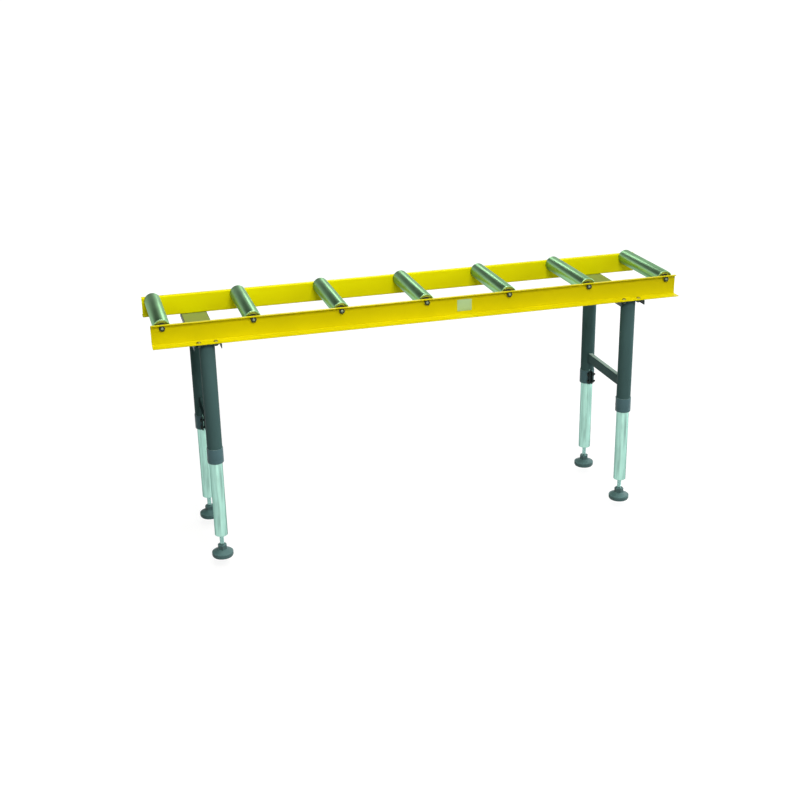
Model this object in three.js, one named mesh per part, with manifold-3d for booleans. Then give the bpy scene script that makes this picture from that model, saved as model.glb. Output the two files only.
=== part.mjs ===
import * as THREE from 'three';
import { mergeVertices } from 'three/addons/utils/BufferGeometryUtils.js';
import Module from 'manifold-3d';

// Roller stand: seven free-running rollers between two pressed side rails, on four telescopic legs.
// Millimetres, +Z up, floor at zero, rails along X, rollers along Y, front side at negative Y.

// Overall sizes
const RAIL_LENGTH = 2000;
const RAIL_FLOOR_HEIGHT = 848;
const ROLLER_FACE = 350;
const ROLLER_DIAMETER = 60;
const ROLLER_COUNT = 7;

// Side rails
const SHEET = 3;
const BEND_RADIUS = 2;
const RAIL_HEIGHT = 77;
const RAIL_FLANGE = 40;
const RAIL_LIP = 12;
const ROLLER_END_MARGIN = 40;
const ROLLER_SIDE_GAP = 3;
const AXLE_DROP = 13.5;

// Rollers
const ROLLER_WALL = 3;
const AXLE_DIAMETER = 20;
const BEARING_WIDTH = 14;
const BEARING_RECESS = 1;
const BEARING_DISH = 3;
const BEARING_RIM = 5;
const AXLE_SCREW_DIAMETER = 12;
const AXLE_SCREW_ACROSS_FLATS = 19;
const AXLE_SCREW_HEAD = 7.5;
const AXLE_WASHER_DIAMETER = 18;
const AXLE_WASHER = 2;

// Leg frames
const LEG_INSET = 190;
const LEG_BEHIND_WEB_FACE = 5;
const CROSSMEMBER_DEPTH = 20;
const CROSSMEMBER_END_STEP = 3;
const RAIL_SCREW_LEG_GAP = 1.9;
const RAIL_SCREW_SIDE_ROOM = 19;
const RAIL_SCREW_DIAMETER = 10;
const RAIL_SCREW_HEAD_DIAMETER = 16;
const RAIL_SCREW_HEAD = 4.5;
const RAIL_SCREW_HEAD_EDGE = 2;
const RAIL_SCREW_CROWN = 10;
const RAIL_NUT_ACROSS_FLATS = 16;
const RAIL_NUT = 8;
const OUTER_LEG_LENGTH = 461;
const OUTER_LEG_WALL = 3;
const BRACE_HEIGHT = 40;
const BRACE_THICKNESS = 20;
const BRACE_WALL = 2;
const BRACE_ABOVE_COLLAR = 37;

// Leg clamps
const COLLAR_HEIGHT = 57;
const COLLAR_WALL = 2.2;
const CLAMP_SLIT = 6;
const SLIT_ABOVE_COLLAR = 6;
const LUG_THICKNESS = 5;
const LUG_REACH = 14;
const CLAMP_BOLT_STANDOFF = 6.5;
const CLAMP_BOLT_SPACING = 30;
const CLAMP_BOLT_DIAMETER = 8;
const CLAMP_BOLT_ACROSS_FLATS = 13;
const CLAMP_BOLT_HEAD = 5.3;
const CLAMP_NUT = 6.5;
const CLAMP_BOLT_TAIL = 6;

// Sliding legs and feet
const INNER_LEG_DIAMETER = 48;
const INNER_LEG_WALL = 3;
const INNER_LEG_OVERLAP = 135;
const LEG_PLUG = 15;
const FOOT_DIAMETER = 80;
const FOOT_HEIGHT = 48;
const FOOT_DISC = 17.5;
const FOOT_CONE = 11.5;
const FOOT_EDGE = 2.5;
const FOOT_NECK_BASE = 34;
const FOOT_NECK_TOP = 28;
const FOOT_SOCKET_DEPTH = 34;
const SPINDLE_DIAMETER = 16;
const SPINDLE_BARE_LENGTH = 40;
const SPINDLE_ABOVE_PLUG = 60;
const SPINDLE_CHAMFER = 2;

// Name plate
const PLATE_WIDTH = 56;
const PLATE_HEIGHT = 44;
const PLATE_THICKNESS = 0.8;
const PLATE_CORNER = 3;
const PLATE_OFFSET = 145;
const PLATE_LIFT = 39;

// Clearances
const SEAT_GAP = 0.2;
const RUNNING_CLEARANCE = 0.6;
const SLIDE_CLEARANCE = 0.9;
const HOLE_CLEARANCE = 0.6;

// Facets of round shapes
const ROUND = 20;
const ROUND_SMALL = 12;
const ARC_STEPS = 3;

// Values that follow from the sizes above
const rollerPitch = (RAIL_LENGTH - 2 * ROLLER_END_MARGIN) / (ROLLER_COUNT - 1);
const rollerRadius = ROLLER_DIAMETER / 2;
const rollerBore = rollerRadius - ROLLER_WALL;
const webInner = ROLLER_FACE / 2 + ROLLER_SIDE_GAP;
const webOuter = webInner + SHEET;
const flangeTip = webOuter + RAIL_FLANGE;
const axleHeight = RAIL_FLOOR_HEIGHT + RAIL_HEIGHT - AXLE_DROP;
const legX = RAIL_LENGTH / 2 - LEG_INSET;
const legY = webOuter - LEG_BEHIND_WEB_FACE;
const crossmemberTop = RAIL_FLOOR_HEIGHT - SEAT_GAP;
const outerLegTop = crossmemberTop - SHEET - SEAT_GAP;
const outerLegBottom = outerLegTop - OUTER_LEG_LENGTH;
const innerLegRadius = INNER_LEG_DIAMETER / 2;
const outerLegBore = innerLegRadius + SLIDE_CLEARANCE;
const outerLegRadius = outerLegBore + OUTER_LEG_WALL;
const collarRadius = outerLegRadius + COLLAR_WALL;
const collarTop = outerLegBottom + COLLAR_HEIGHT;
const innerLegBottom = FOOT_HEIGHT + SPINDLE_BARE_LENGTH;
const innerLegTop = outerLegBottom + INNER_LEG_OVERLAP;
const clampBoltY = collarRadius + CLAMP_BOLT_STANDOFF;
const clampBoltMiddle = outerLegBottom + COLLAR_HEIGHT / 2;
const lugFace = CLAMP_SLIT / 2 + LUG_THICKNESS;
const railScrewY = webOuter + RAIL_FLANGE / 2;
const railScrewLegDistance = outerLegRadius + RAIL_NUT_ACROSS_FLATS / Math.sqrt(3) + RAIL_SCREW_LEG_GAP;
const railScrewX = Math.sqrt(railScrewLegDistance ** 2 - (railScrewY - legY) ** 2);
const crossmemberHalf = railScrewX + RAIL_SCREW_SIDE_ROOM;

const wasm = await Module();
wasm.setup();

function finish(colour, roughness, metalness) {
  return new THREE.MeshStandardMaterial({ color: colour, roughness, metalness });
}

const yellowPaint = () => finish(0xd6c400, 0.45, 0.0);
const greyPaint = () => finish(0x3c524c, 0.5, 0.0);
const zincPlate = () => finish(0xa9c4b4, 0.35, 0.9);
const darkSteel = () => finish(0x39433c, 0.4, 0.8);
const blackRubber = () => finish(0x35423f, 0.8, 0.0);
const plainAluminium = () => finish(0xc9cfc4, 0.5, 0.6);

// Joins equal corners and drops triangles that have no area
function weld(geometry) {
  const bare = geometry.index ? geometry.toNonIndexed() : geometry;
  bare.deleteAttribute('normal');
  bare.deleteAttribute('uv');
  const joined = mergeVertices(bare);
  const kept = [];
  for (let i = 0; i < joined.index.count; i += 3) {
    const a = joined.index.getX(i);
    const b = joined.index.getX(i + 1);
    const c = joined.index.getX(i + 2);
    if (a !== b && b !== c && c !== a) kept.push(a, b, c);
  }
  joined.setIndex(kept);
  return joined;
}

function solidOf(geometry) {
  const closed = weld(geometry);
  return new wasm.Manifold(new wasm.Mesh({
    numProp: 3,
    vertProperties: new Float32Array(closed.attributes.position.array),
    triVerts: new Uint32Array(closed.index.array),
  }));
}

function geometryOf(solid) {
  const mesh = solid.getMesh();
  const geometry = new THREE.BufferGeometry();
  geometry.setAttribute('position', new THREE.BufferAttribute(new Float32Array(mesh.vertProperties), 3));
  geometry.setIndex(new THREE.BufferAttribute(new Uint32Array(mesh.triVerts), 1));
  return geometry;
}

// Turns an outline of [radius, height] points about the named axis
function turned(outline, axis, facets) {
  const points = outline.map(([radius, height]) => new THREE.Vector2(radius, height));
  const geometry = new THREE.LatheGeometry(points, facets);
  if (axis === 'z') geometry.rotateX(Math.PI / 2);
  if (axis === 'x') geometry.rotateZ(-Math.PI / 2);
  return geometry;
}

function bar(radius, from, to, axis, facets) {
  return turned([[0, from], [radius, from], [radius, to], [0, to]], axis, facets);
}

function ring(inner, outer, from, to, axis, facets) {
  return turned([[inner, from], [outer, from], [outer, to], [inner, to], [inner, from]], axis, facets);
}

function hexBar(acrossFlats, from, to, axis) {
  return bar(acrossFlats / Math.sqrt(3), from, to, axis, 6);
}

function block(x0, x1, y0, y1, z0, z1) {
  const geometry = new THREE.BoxGeometry(x1 - x0, y1 - y0, z1 - z0);
  geometry.translate((x0 + x1) / 2, (y0 + y1) / 2, (z0 + z1) / 2);
  return geometry;
}

function extruded(outline, depth) {
  return new THREE.ExtrudeGeometry(outline, { depth, bevelEnabled: false, curveSegments: ARC_STEPS });
}

// Rail section: web with a wide foot flange and a narrow top lip, both turned outward
function railSection() {
  const corner = BEND_RADIUS + SHEET;
  const outline = new THREE.Shape();
  outline.moveTo(corner, 0);
  outline.lineTo(SHEET + RAIL_FLANGE, 0);
  outline.lineTo(SHEET + RAIL_FLANGE, SHEET);
  outline.lineTo(corner, SHEET);
  outline.absarc(corner, corner, BEND_RADIUS, -Math.PI / 2, -Math.PI, true);
  outline.lineTo(SHEET, RAIL_HEIGHT - corner);
  outline.absarc(corner, RAIL_HEIGHT - corner, BEND_RADIUS, Math.PI, Math.PI / 2, true);
  outline.lineTo(SHEET + RAIL_LIP, RAIL_HEIGHT - SHEET);
  outline.lineTo(SHEET + RAIL_LIP, RAIL_HEIGHT);
  outline.lineTo(corner, RAIL_HEIGHT);
  outline.absarc(corner, RAIL_HEIGHT - corner, corner, Math.PI / 2, Math.PI, false);
  outline.lineTo(0, corner);
  outline.absarc(corner, corner, corner, Math.PI, Math.PI * 1.5, false);
  return outline;
}

function rollerX(number) {
  return (number - (ROLLER_COUNT + 1) / 2) * rollerPitch;
}

// A rail at the rear side, pierced for the axle screws and the leg frame screws
function rail() {
  const length = extruded(railSection(), RAIL_LENGTH);
  const alongX = new THREE.Matrix4().makeBasis(
    new THREE.Vector3(0, 1, 0),
    new THREE.Vector3(0, 0, 1),
    new THREE.Vector3(1, 0, 0),
  );
  length.applyMatrix4(alongX);
  length.translate(-RAIL_LENGTH / 2, webInner, RAIL_FLOOR_HEIGHT);
  let body = solidOf(length);
  const axleHole = AXLE_SCREW_DIAMETER / 2 + HOLE_CLEARANCE;
  for (let number = 1; number <= ROLLER_COUNT; number += 1) {
    const hole = bar(axleHole, webInner - SHEET, webOuter + SHEET, 'y', ROUND_SMALL);
    hole.translate(rollerX(number), 0, axleHeight);
    body = body.subtract(solidOf(hole));
  }
  const screwHole = RAIL_SCREW_DIAMETER / 2 + HOLE_CLEARANCE;
  for (const side of [-1, 1]) {
    for (const place of [-1, 1]) {
      const hole = bar(screwHole, RAIL_FLOOR_HEIGHT - SHEET, RAIL_FLOOR_HEIGHT + 2 * SHEET, 'z', ROUND_SMALL);
      hole.translate(side * legX + place * railScrewX, railScrewY, 0);
      body = body.subtract(solidOf(hole));
    }
  }
  return geometryOf(body);
}

function rollerTube() {
  return ring(rollerBore, rollerRadius, -ROLLER_FACE / 2, ROLLER_FACE / 2, 'y', ROUND);
}

// Pressed-in end bearing with a dished outer face, at the rear end of a roller
function rollerBearing() {
  const outer = rollerBore * Math.cos(Math.PI / ROUND) - SEAT_GAP;
  const bore = AXLE_DIAMETER / 2 + RUNNING_CLEARANCE;
  const face = ROLLER_FACE / 2 - BEARING_RECESS;
  return turned([
    [bore, face - BEARING_WIDTH],
    [outer, face - BEARING_WIDTH],
    [outer, face],
    [outer - BEARING_RIM, face],
    [bore, face - BEARING_DISH],
    [bore, face - BEARING_WIDTH],
  ], 'y', ROUND_SMALL);
}

// Fixed axle with the screw and washer of each end
function rollerAxle() {
  const end = webInner - SEAT_GAP;
  const washerFrom = webOuter + SEAT_GAP;
  const washerTo = washerFrom + AXLE_WASHER;
  const screwRadius = AXLE_SCREW_DIAMETER / 2;
  const washerRadius = AXLE_WASHER_DIAMETER / 2;
  let body = solidOf(turned([
    [0, -washerTo],
    [washerRadius, -washerTo],
    [washerRadius, -washerFrom],
    [screwRadius, -washerFrom],
    [screwRadius, -end],
    [AXLE_DIAMETER / 2, -end],
    [AXLE_DIAMETER / 2, end],
    [screwRadius, end],
    [screwRadius, washerFrom],
    [washerRadius, washerFrom],
    [washerRadius, washerTo],
    [0, washerTo],
  ], 'y', ROUND_SMALL));
  for (const side of [-1, 1]) {
    const base = washerTo - AXLE_WASHER / 2;
    const head = hexBar(AXLE_SCREW_ACROSS_FLATS, base, washerTo + AXLE_SCREW_HEAD, 'y');
    head.rotateY(Math.PI / 6);
    if (side < 0) head.rotateX(Math.PI);
    body = body.add(solidOf(head));
  }
  return geometryOf(body);
}

// Inverted channel under both rails, with the four screws that hold the rails on it
function crossmember() {
  const half = crossmemberHalf;
  const corner = BEND_RADIUS + SHEET;
  const outline = new THREE.Shape();
  outline.moveTo(-half, -CROSSMEMBER_DEPTH);
  outline.lineTo(-half + SHEET, -CROSSMEMBER_DEPTH);
  outline.lineTo(-half + SHEET, -corner);
  outline.absarc(-half + corner, -corner, BEND_RADIUS, Math.PI, Math.PI / 2, true);
  outline.lineTo(half - corner, -SHEET);
  outline.absarc(half - corner, -corner, BEND_RADIUS, Math.PI / 2, 0, true);
  outline.lineTo(half - SHEET, -CROSSMEMBER_DEPTH);
  outline.lineTo(half, -CROSSMEMBER_DEPTH);
  outline.lineTo(half, -corner);
  outline.absarc(half - corner, -corner, corner, 0, Math.PI / 2, false);
  outline.lineTo(-half + corner, 0);
  outline.absarc(-half + corner, -corner, corner, Math.PI / 2, Math.PI, false);
  const length = 2 * (flangeTip - CROSSMEMBER_END_STEP);
  const channel = extruded(outline, length);
  channel.rotateX(Math.PI / 2);
  channel.translate(0, length / 2, crossmemberTop);
  let body = solidOf(channel);
  const headFrom = RAIL_FLOOR_HEIGHT + SHEET + SEAT_GAP;
  const nutTo = crossmemberTop - SHEET / 2;
  const nutFrom = crossmemberTop - SHEET - RAIL_NUT;
  const headRadius = RAIL_SCREW_HEAD_DIAMETER / 2;
  for (const row of [-1, 1]) {
    for (const place of [-1, 1]) {
      const shank = bar(RAIL_SCREW_DIAMETER / 2, nutTo, headFrom + SHEET / 2, 'z', ROUND_SMALL);
      const head = turned([
        [0, headFrom],
        [headRadius, headFrom],
        [headRadius, headFrom + RAIL_SCREW_HEAD_EDGE],
        [RAIL_SCREW_CROWN / 2, headFrom + RAIL_SCREW_HEAD],
        [0, headFrom + RAIL_SCREW_HEAD],
      ], 'z', ROUND_SMALL);
      const nut = hexBar(RAIL_NUT_ACROSS_FLATS, nutFrom, nutTo, 'z');
      for (const piece of [shank, head, nut]) {
        piece.translate(place * railScrewX, row * railScrewY, 0);
        body = body.add(solidOf(piece));
      }
    }
  }
  return geometryOf(body);
}

// Outer leg with its split clamp collar: lugs toward +Y, weld nuts on the lug of the nut side
function outerLeg(nutSide) {
  const lugRoot = outerLegRadius - OUTER_LEG_WALL / 2;
  const lugTip = collarRadius + LUG_REACH;
  const tube = bar(outerLegRadius, outerLegBottom, outerLegTop, 'z', ROUND);
  const collar = bar(collarRadius, outerLegBottom, collarTop, 'z', ROUND);
  const lugs = block(-lugFace, lugFace, lugRoot, lugTip, outerLegBottom, collarTop);
  let body = solidOf(tube).add(solidOf(collar)).add(solidOf(lugs));
  const boltHole = CLAMP_BOLT_DIAMETER / 2 + HOLE_CLEARANCE;
  const nutEnd = -lugFace - CLAMP_NUT;
  const heights = [-1, 1].map((place) => clampBoltMiddle + place * CLAMP_BOLT_SPACING / 2);
  for (const height of heights) {
    const nut = hexBar(CLAMP_BOLT_ACROSS_FLATS, nutEnd, -lugFace + LUG_THICKNESS / 2, 'x');
    if (nutSide > 0) nut.rotateZ(Math.PI);
    nut.translate(0, clampBoltY, height);
    body = body.add(solidOf(nut));
  }
  for (const height of heights) {
    const hole = bar(boltHole, nutEnd - SHEET, -nutEnd + SHEET, 'x', ROUND_SMALL);
    hole.translate(0, clampBoltY, height);
    body = body.subtract(solidOf(hole));
  }
  const bore = bar(outerLegBore, outerLegBottom - SHEET, outerLegTop + SHEET, 'z', ROUND);
  const slit = block(
    -CLAMP_SLIT / 2, CLAMP_SLIT / 2, 0, lugTip + SHEET,
    outerLegBottom - SHEET, collarTop + SLIT_ABOVE_COLLAR,
  );
  return geometryOf(body.subtract(solidOf(bore)).subtract(solidOf(slit)));
}

// Clamp bolt along X with its tail to +X, centred on the lug slit
function clampBolt() {
  const headFrom = lugFace + SEAT_GAP;
  const tail = -lugFace - CLAMP_NUT - CLAMP_BOLT_TAIL;
  const shank = bar(CLAMP_BOLT_DIAMETER / 2, tail, headFrom + CLAMP_BOLT_HEAD / 2, 'x', ROUND_SMALL);
  const head = hexBar(CLAMP_BOLT_ACROSS_FLATS, headFrom, headFrom + CLAMP_BOLT_HEAD, 'x');
  const bolt = geometryOf(solidOf(shank).add(solidOf(head)));
  bolt.rotateZ(Math.PI);
  return bolt;
}

// Rectangular tube between the two outer legs of a frame, ends shaped to the round legs
function brace() {
  const halfX = BRACE_THICKNESS / 2;
  const bottom = collarTop + BRACE_ABOVE_COLLAR;
  const top = bottom + BRACE_HEIGHT;
  const shell = block(-halfX, halfX, -legY, legY, bottom, top);
  const inside = block(
    -halfX + BRACE_WALL, halfX - BRACE_WALL, -legY - SHEET, legY + SHEET,
    bottom + BRACE_WALL, top - BRACE_WALL,
  );
  let body = solidOf(shell).subtract(solidOf(inside));
  for (const row of [-1, 1]) {
    const leg = bar(outerLegRadius + SEAT_GAP, bottom - SHEET, top + SHEET, 'z', ROUND);
    leg.translate(0, row * legY, 0);
    body = body.subtract(solidOf(leg));
  }
  return geometryOf(body);
}

// Sliding leg tube with the threaded plug of its lower end
function innerLeg() {
  const bore = innerLegRadius - INNER_LEG_WALL;
  const thread = SPINDLE_DIAMETER / 2 + RUNNING_CLEARANCE;
  return turned([
    [thread, innerLegBottom],
    [innerLegRadius, innerLegBottom],
    [innerLegRadius, innerLegTop],
    [bore, innerLegTop],
    [bore, innerLegBottom + LEG_PLUG],
    [thread, innerLegBottom + LEG_PLUG],
    [thread, innerLegBottom],
  ], 'z', ROUND);
}

function footSpindle() {
  const radius = SPINDLE_DIAMETER / 2;
  const from = FOOT_HEIGHT - FOOT_SOCKET_DEPTH + SEAT_GAP;
  const to = innerLegBottom + LEG_PLUG + SPINDLE_ABOVE_PLUG;
  return turned([
    [0, from],
    [radius - SPINDLE_CHAMFER, from],
    [radius, from + SPINDLE_CHAMFER],
    [radius, to - SPINDLE_CHAMFER],
    [radius - SPINDLE_CHAMFER, to],
    [0, to],
  ], 'z', ROUND_SMALL);
}

// Round foot: a disc that rises as a cone to a short neck round the spindle
function footPad() {
  const radius = FOOT_DIAMETER / 2;
  const socket = SPINDLE_DIAMETER / 2 + RUNNING_CLEARANCE;
  return turned([
    [0, 0],
    [radius - FOOT_EDGE, 0],
    [radius, FOOT_EDGE],
    [radius, FOOT_DISC - FOOT_EDGE],
    [radius - FOOT_EDGE, FOOT_DISC],
    [FOOT_NECK_BASE / 2, FOOT_DISC + FOOT_CONE],
    [FOOT_NECK_TOP / 2, FOOT_HEIGHT],
    [socket, FOOT_HEIGHT],
    [socket, FOOT_HEIGHT - FOOT_SOCKET_DEPTH],
    [0, FOOT_HEIGHT - FOOT_SOCKET_DEPTH],
  ], 'z', ROUND);
}

function namePlate() {
  const halfWidth = PLATE_WIDTH / 2 - PLATE_CORNER;
  const halfHeight = PLATE_HEIGHT / 2 - PLATE_CORNER;
  const outline = new THREE.Shape();
  outline.absarc(halfWidth, halfHeight, PLATE_CORNER, 0, Math.PI / 2, false);
  outline.absarc(-halfWidth, halfHeight, PLATE_CORNER, Math.PI / 2, Math.PI, false);
  outline.absarc(-halfWidth, -halfHeight, PLATE_CORNER, Math.PI, Math.PI * 1.5, false);
  outline.absarc(halfWidth, -halfHeight, PLATE_CORNER, Math.PI * 1.5, Math.PI * 2, false);
  const plate = extruded(outline, PLATE_THICKNESS);
  plate.rotateX(Math.PI / 2);
  return plate;
}

const stand = new THREE.Group();
stand.name = 'roller_stand';

function addPiece(name, geometry, material) {
  const piece = new THREE.Mesh(weld(geometry), material);
  piece.geometry.computeVertexNormals();
  piece.name = name;
  stand.add(piece);
  return piece;
}

addPiece('side_rail_rear', rail(), yellowPaint());
addPiece('side_rail_front', rail(), yellowPaint()).rotation.z = Math.PI;

for (let number = 1; number <= ROLLER_COUNT; number += 1) {
  const tube = addPiece(`roller_${number}_tube`, rollerTube(), zincPlate());
  const axle = addPiece(`roller_${number}_axle`, rollerAxle(), darkSteel());
  const rear = addPiece(`roller_${number}_bearing_rear`, rollerBearing(), zincPlate());
  const front = addPiece(`roller_${number}_bearing_front`, rollerBearing(), zincPlate());
  front.rotation.z = Math.PI;
  for (const piece of [tube, axle, rear, front]) {
    piece.position.set(rollerX(number), 0, axleHeight);
  }
}

for (const [end, side] of [['left', -1], ['right', 1]]) {
  addPiece(`crossmember_${end}`, crossmember(), greyPaint()).position.x = side * legX;
  addPiece(`leg_brace_${end}`, brace(), greyPaint()).position.x = side * legX;
  for (const [row, depth] of [['front', -1], ['rear', 1]]) {
    const corner = `${row}_${end}`;
    const standing = [
      addPiece(`outer_leg_${corner}`, outerLeg(-depth), greyPaint()),
      addPiece(`inner_leg_${corner}`, innerLeg(), zincPlate()),
      addPiece(`foot_spindle_${corner}`, footSpindle(), zincPlate()),
      addPiece(`foot_pad_${corner}`, footPad(), blackRubber()),
    ];
    for (const piece of standing) {
      piece.position.set(side * legX, depth * legY, 0);
    }
    if (depth > 0) standing[0].rotation.z = Math.PI;
    for (const [level, place] of [['lower', -1], ['upper', 1]]) {
      const bolt = addPiece(`clamp_bolt_${level}_${corner}`, clampBolt(), darkSteel());
      const height = clampBoltMiddle + place * CLAMP_BOLT_SPACING / 2;
      bolt.position.set(side * legX, depth * (legY - clampBoltY), height);
    }
  }
}

const plateFace = -(webOuter + SEAT_GAP);
addPiece('name_plate', namePlate(), plainAluminium())
  .position.set(PLATE_OFFSET, plateFace, RAIL_FLOOR_HEIGHT + PLATE_LIFT);

export default stand;
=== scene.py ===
import math
import random

import bmesh
import bpy
from mathutils import Matrix, Vector


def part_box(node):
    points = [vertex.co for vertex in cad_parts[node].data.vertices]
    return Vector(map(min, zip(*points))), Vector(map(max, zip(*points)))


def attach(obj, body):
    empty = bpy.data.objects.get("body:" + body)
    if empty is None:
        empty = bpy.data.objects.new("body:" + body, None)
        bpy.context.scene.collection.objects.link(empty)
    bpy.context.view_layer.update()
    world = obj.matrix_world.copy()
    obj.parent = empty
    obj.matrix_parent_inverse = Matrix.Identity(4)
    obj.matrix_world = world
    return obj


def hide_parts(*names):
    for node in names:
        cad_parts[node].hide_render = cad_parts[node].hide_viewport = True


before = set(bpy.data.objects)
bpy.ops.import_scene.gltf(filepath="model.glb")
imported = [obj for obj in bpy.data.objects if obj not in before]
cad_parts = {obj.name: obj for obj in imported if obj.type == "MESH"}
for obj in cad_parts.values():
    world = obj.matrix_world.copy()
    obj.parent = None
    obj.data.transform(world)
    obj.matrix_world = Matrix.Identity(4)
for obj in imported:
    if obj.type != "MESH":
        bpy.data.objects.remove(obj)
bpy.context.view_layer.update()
random.seed(7)

MM = 0.001
ROLLER_COUNT = 7
ENDS = {"left": -1, "right": 1}
ROWS = {"front": -1, "rear": 1}
SIDES = (-1, 1)


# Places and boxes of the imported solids
def centre(name):
    low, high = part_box(name)
    return Vector([(a + b) / 2 for a, b in zip(low, high)])


rail_low, rail_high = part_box("side_rail_rear")
tube_low, tube_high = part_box("roller_1_tube")
cross_low, cross_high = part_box("crossmember_right")
leg_low, leg_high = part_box("outer_leg_front_right")
brace_low, brace_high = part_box("leg_brace_right")
inner_low, inner_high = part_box("inner_leg_front_right")
spindle_low, spindle_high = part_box("foot_spindle_front_right")
plate_low, plate_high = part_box("name_plate")
roller_place = {n: centre(f"roller_{n}_tube") for n in range(1, ROLLER_COUNT + 1)}
cross_x = {end: centre(f"crossmember_{end}").x for end in ENDS}
leg_place = {
    (row, end): centre(f"foot_pad_{row}_{end}").xy.to_3d() for row in ROWS for end in ENDS
}

# Sizes that several pieces share. A gap or a hair keeps touching pieces apart
SHEET = 3 * MM
TUBE_WALL = 3 * MM
GAP = 0.2 * MM
HAIR = 0.1 * MM
BEND_OUTER = 5 * MM
BEND_INNER = 2 * MM
CUT_EDGE = 0.5 * MM
RAIL_BOTTOM, RAIL_TOP = rail_low[2], rail_high[2]
WEB_INNER, FLANGE_TIP = rail_low[1], rail_high[1]
WEB_OUTER = WEB_INNER + SHEET
CROSS_HALF = (cross_high[0] - cross_low[0]) / 2
SCREW_X = CROSS_HALF - 19 * MM
SCREW_Y = WEB_OUTER + 20 * MM
LEG_BOTTOM, LEG_TOP = leg_low[2], leg_high[2]
INNER_BOTTOM, INNER_TOP = inner_low[2], inner_high[2]
INNER_R = (inner_high[0] - inner_low[0]) / 2
LEG_BORE = INNER_R + 0.9 * MM
LEG_R = LEG_BORE + TUBE_WALL
BRACE_HALF = (brace_high[0] - brace_low[0]) / 2
BRACE_BOTTOM, BRACE_TOP = brace_low[2], brace_high[2]
PAD_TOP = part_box("foot_pad_front_right")[1][2]

# Angles in degrees above which an edge is shown sharp
SHARP = 38
SHARP_FLATS = 30
SHARP_FINE = 25
SHARP_WELD = 80


# Outlines
def rounded(corners, steps=4):
    """Outline of (x, y, radius) corners, each turned into an arc of its radius."""
    outline = []
    count = len(corners)
    for i, (x, y, radius) in enumerate(corners):
        here = Vector((x, y))
        if radius <= 0:
            outline.append((x, y))
            continue
        before = (Vector(corners[i - 1][:2]) - here).normalized()
        after = (Vector(corners[(i + 1) % count][:2]) - here).normalized()
        half = before.angle(after) / 2
        reach = radius / math.tan(half)
        middle = here + (before + after).normalized() * (radius / math.sin(half))
        start = here + before * reach - middle
        end = here + after * reach - middle
        turn = start.angle_signed(end)
        for k in range(steps + 1):
            spoke = start.copy()
            spoke.rotate(Matrix.Rotation(-turn * k / steps, 2))
            outline.append(tuple(middle + spoke))
    return outline


def in_metres(profile, base=0.0):
    """Corners of a profile given in millimetres, with its heights counted from base."""
    return [(radius * MM, base + height * MM, corner * MM) for radius, height, corner in profile]


def disc(radius, low, high):
    return [(0, low), (radius, low), (radius, high), (0, high)]


def soft_disc(radius, low, high, edge):
    return rounded([(0, low, 0), (radius, low, edge), (radius, high, edge), (0, high, 0)], steps=3)


def soft_ring(inner, outer, low, high, edge):
    corners = [(inner, low), (outer, low), (outer, high), (inner, high)]
    return rounded([(radius, height, edge) for radius, height in corners], steps=3)


def rectangle(half, low, high):
    return [(-half, low), (half, low), (half, high), (-half, high)]


def angles(count):
    return [2 * math.pi * k / count for k in range(count)]


def ring_path(radius, height, count=110):
    return [Vector((radius * math.cos(a), radius * math.sin(a), height)) for a in angles(count)]


# Shapes
ON_AXIS = 1e-7
HEX_STEP = math.pi / 3
HEX_CROWN = 0.95
HEX_SLOPE = math.tan(math.radians(60))
RIPPLE = 0.13
RIPPLE_STEP = 2.1
UNEVEN = 0.06
THROUGH = 10 * MM


def lathe(outline, facets):
    """Turns (radius, height) points about Z. An outline that starts off the axis makes a ring."""
    bm = bmesh.new()
    rings = []
    for radius, height in outline:
        if radius < ON_AXIS:
            rings.append([bm.verts.new((0, 0, height))])
            continue
        rings.append([
            bm.verts.new((radius * math.cos(a), radius * math.sin(a), height)) for a in angles(facets)
        ])
    pairs = list(zip(rings, rings[1:]))
    if outline[0][0] > ON_AXIS:
        pairs.append((rings[-1], rings[0]))
    for low, high in pairs:
        for k in range(facets):
            n = (k + 1) % facets
            loop = [low[k % len(low)], low[n % len(low)], high[n % len(high)], high[k % len(high)]]
            corners = list(dict.fromkeys(loop))
            if len(corners) > 2:
                bm.faces.new(corners)
    return bm


def prism(outline, low, high):
    """Straight bar of an XY outline from height low to height high."""
    bm = bmesh.new()
    bottom = [bm.verts.new((x, y, low)) for x, y in outline]
    top = [bm.verts.new((x, y, high)) for x, y in outline]
    count = len(outline)
    for k in range(count):
        n = (k + 1) % count
        bm.faces.new((bottom[k], bottom[n], top[n], top[k]))
    bm.faces.new(top)
    bm.faces.new(list(reversed(bottom)))
    return bm


def hexagon(flats, low, high, hole=0.0, facets=48):
    """Hexagon head or nut with its corners chamfered at the high face, and a hole if it has one."""
    bm = bmesh.new()
    inner = flats / 2
    crown = HEX_CROWN * inner
    rings = [[], [], []]
    hole_rings = [[], []]
    for angle in angles(facets):
        off = (angle + HEX_STEP / 2) % HEX_STEP - HEX_STEP / 2
        radius = inner / math.cos(off)
        c, s = math.cos(angle), math.sin(angle)
        edge = high - (radius - crown) / HEX_SLOPE
        rings[0].append(bm.verts.new((radius * c, radius * s, low)))
        rings[1].append(bm.verts.new((radius * c, radius * s, edge)))
        rings[2].append(bm.verts.new((crown * c, crown * s, high)))
        if hole:
            hole_rings[0].append(bm.verts.new((hole * c, hole * s, low)))
            hole_rings[1].append(bm.verts.new((hole * c, hole * s, high)))
    pairs = [(rings[0], rings[1]), (rings[1], rings[2])]
    if hole:
        pairs += [(rings[2], hole_rings[1]), (hole_rings[1], hole_rings[0]), (hole_rings[0], rings[0])]
    for a, b in pairs:
        for k in range(facets):
            n = (k + 1) % facets
            bm.faces.new((a[k], a[n], b[n], b[k]))
    if not hole:
        bm.faces.new(rings[2])
        bm.faces.new(list(reversed(rings[0])))
    return bm


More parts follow.
